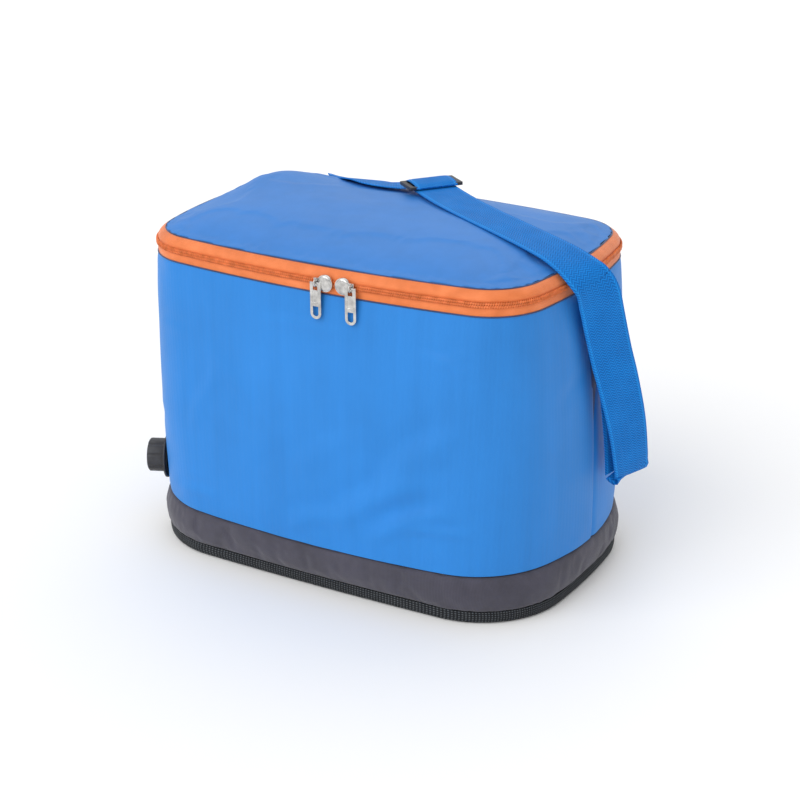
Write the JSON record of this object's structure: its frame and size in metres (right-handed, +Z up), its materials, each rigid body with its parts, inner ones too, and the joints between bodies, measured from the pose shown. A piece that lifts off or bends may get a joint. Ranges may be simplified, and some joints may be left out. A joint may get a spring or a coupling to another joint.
{
  "type": "insulated cooler bag",
  "caption": "Soft insulated bag with a zipped hinged lid, foam walls, sealed lining, drain cap, padded base band and an adjustable shoulder strap.",
  "frame": {"origin": "centre of the flat bottom, on the surface that the bag stands on", "axes": "+Z up, -Y towards the front with the zip sliders, +X towards the bag's own right side as seen from the front"},
  "size_m": [0.4797, 0.2964, 0.3389],
  "materials": {
    "panel_nylon": "coated nylon, satin",
    "lid_nylon": "coated nylon over foam, satin",
    "piping": "folded nylon piping",
    "band_fabric": "padded polyester, matte",
    "base_weave": "coarse ballistic weave",
    "board": "plain",
    "foam": "closed-cell foam",
    "lining": "heat-sealed foil-look lining, semi-gloss",
    "binding": "woven binding",
    "zip_tape": "woven zip tape",
    "zip_coil": "nylon coil",
    "nickel": "nickel plate, polished",
    "black_plastic": "moulded, fine grain",
    "black_rubber": "matte",
    "webbing": "twill webbing"
  },
  "bodies": {
    "root": {"base_panel": "base_weave", "base_board": "board", "floor_foam": "foam", "base_band": "band_fabric", "front_panel": "panel_nylon", "back_panel": "panel_nylon", "wall_foam_front": "foam", "wall_foam_back": "foam", "liner": "lining", "seam_binding_left": "binding", "seam_binding_right": "binding", "zip_coil_lower": "zip_coil", "zip_tape_lower": "zip_tape", "piping_lower": "piping", "hinge_strip_lower": "panel_nylon", "zip_end_tab_left": "zip_tape", "zip_end_tab_right": "zip_tape", "drain_spout": "black_plastic", "drain_gasket": "black_rubber", "drain_nut": "black_plastic", "strap_back": "webbing", "strap_anchor_left": "webbing", "strap_anchor_right": "webbing"},
    "lid": {"lid_cover": "lid_nylon", "lid_foam": "foam", "lid_lining": "lining", "zip_coil_upper": "zip_coil", "zip_tape_upper": "zip_tape", "piping_upper": "piping", "hinge_strip_upper": "panel_nylon", "strap_span": "webbing", "strap_tail": "webbing"},
    "slider_left": {"slider_left": "nickel"},
    "slider_right": {"slider_right": "nickel"},
    "pull_left": {"pull_left": "nickel"},
    "pull_right": {"pull_right": "nickel"},
    "cap_lift": {"cap_seal": "black_rubber"},
    "drain_cap": {"drain_cap": "black_plastic"},
    "adjuster": {"adjuster_frame": "black_plastic", "adjuster_loop": "webbing"},
    "strap_drop": {"strap_drop": "webbing"},
    "strap_return": {"strap_return": "webbing"}
  },
  "joints": [
    {"name": "lid_hinge", "type": "hinge", "parent": "root", "child": "lid", "pos_m": [0, 0.134, 0.3], "axis": [-1, 0, 0], "range_deg": [0, 105]},
    {"name": "slider_left_travel", "type": "hinge", "parent": "root", "child": "slider_left", "pos_m": [0, 1.07516, 0.3], "axis": [0, 0, 1], "range_deg": [-5.69, 0]},
    {"name": "slider_right_travel", "type": "hinge", "parent": "root", "child": "slider_right", "pos_m": [0, 1.07516, 0.3], "axis": [0, 0, 1], "range_deg": [0, 4.5]},
    {"name": "pull_left_swing", "type": "hinge", "parent": "slider_left", "child": "pull_left", "pos_m": [0.00907, -0.1382, 0.3], "axis": [-0.9999, -0.0145, 0], "range_deg": [0, 140]},
    {"name": "pull_right_swing", "type": "hinge", "parent": "slider_right", "child": "pull_right", "pos_m": [0.04413, -0.13743, 0.3], "axis": [-0.9996, -0.0294, 0], "range_deg": [0, 140]},
    {"name": "cap_lift", "type": "slide", "parent": "root", "child": "cap_lift", "axis": [-0.9135, -0.4067, 0], "range_m": [0, 0.012]},
    {"name": "cap_turn", "type": "hinge", "parent": "cap_lift", "child": "drain_cap", "pos_m": [-0.20616, -0.08518, 0.0705], "axis": [-0.9135, -0.4067, 0], "range_deg": [0, 1080.5]},
    {"name": "adjuster_slide", "type": "slide", "parent": "lid", "child": "adjuster", "axis": [0.7956, -0.6058, 0], "range_m": [0, 0.055]},
    {"name": "strap_drop_swing", "type": "hinge", "parent": "lid", "child": "strap_drop", "pos_m": [0.227, -0.02, 0.276], "axis": [1, 0, 0], "range_deg": [0, 101.77]},
    {"name": "strap_return_swing", "type": "hinge", "parent": "root", "child": "strap_return", "pos_m": [0.2195, 0.002, 0.285], "axis": [1, 0, 0], "range_deg": [0, 81.81]}
  ],
  "couplings": [
    {"joint": "cap_turn", "follows": "cap_lift", "rad_per_m": 1570.8},
    {"joint": "strap_drop_swing", "follows": "lid_hinge", "ratio": 0.9645},
    {"joint": "strap_return_swing", "follows": "lid_hinge", "ratio": 0.77442}
  ]
}
